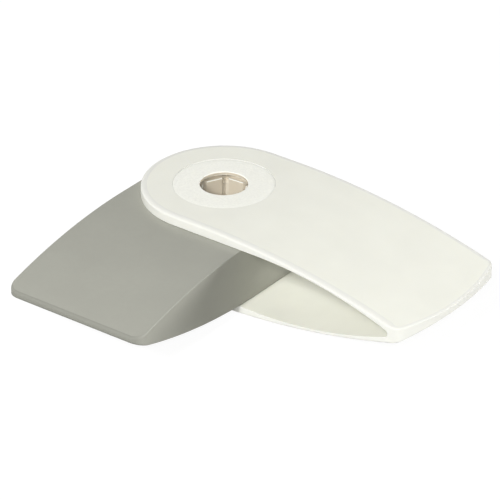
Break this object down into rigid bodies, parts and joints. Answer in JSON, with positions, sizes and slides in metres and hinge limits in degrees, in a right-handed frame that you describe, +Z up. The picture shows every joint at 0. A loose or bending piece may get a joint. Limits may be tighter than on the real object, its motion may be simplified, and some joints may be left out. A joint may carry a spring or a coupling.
{
  "type": "swivel sleeve eraser",
  "caption": "Lens-shaped rubber eraser that swivels out of a folded plastic sleeve, open on both long sides, on a hollow snap-together pivot.",
  "frame": {"origin": "bottom centre of the box around the object as pictured, with the eraser swung out square to the sleeve", "axes": "+X along the sleeve from the pivot to the nose, -Y along the eraser from the pivot to its tip, +Z up along the pivot axis"},
  "size_m": [0.055, 0.0488, 0.0128],
  "materials": {
    "sleeve_plastic": "satin moulded warm white",
    "eraser_rubber": "matte moulded grey",
    "cap_plastic": "fine-grained warm white"
  },
  "bodies": {
    "sleeve": {"sleeve": "sleeve_plastic", "upper_snap_cap": "cap_plastic", "lower_snap_cap": "cap_plastic"},
    "eraser": {"eraser_block": "eraser_rubber"}
  },
  "joints": [
    {"name": "eraser_swing", "type": "hinge", "parent": "sleeve", "child": "eraser", "pos_m": [-0.01498, 0.01185, 0.0064], "axis": [0, 0, 1], "continuous": true}
  ]
}
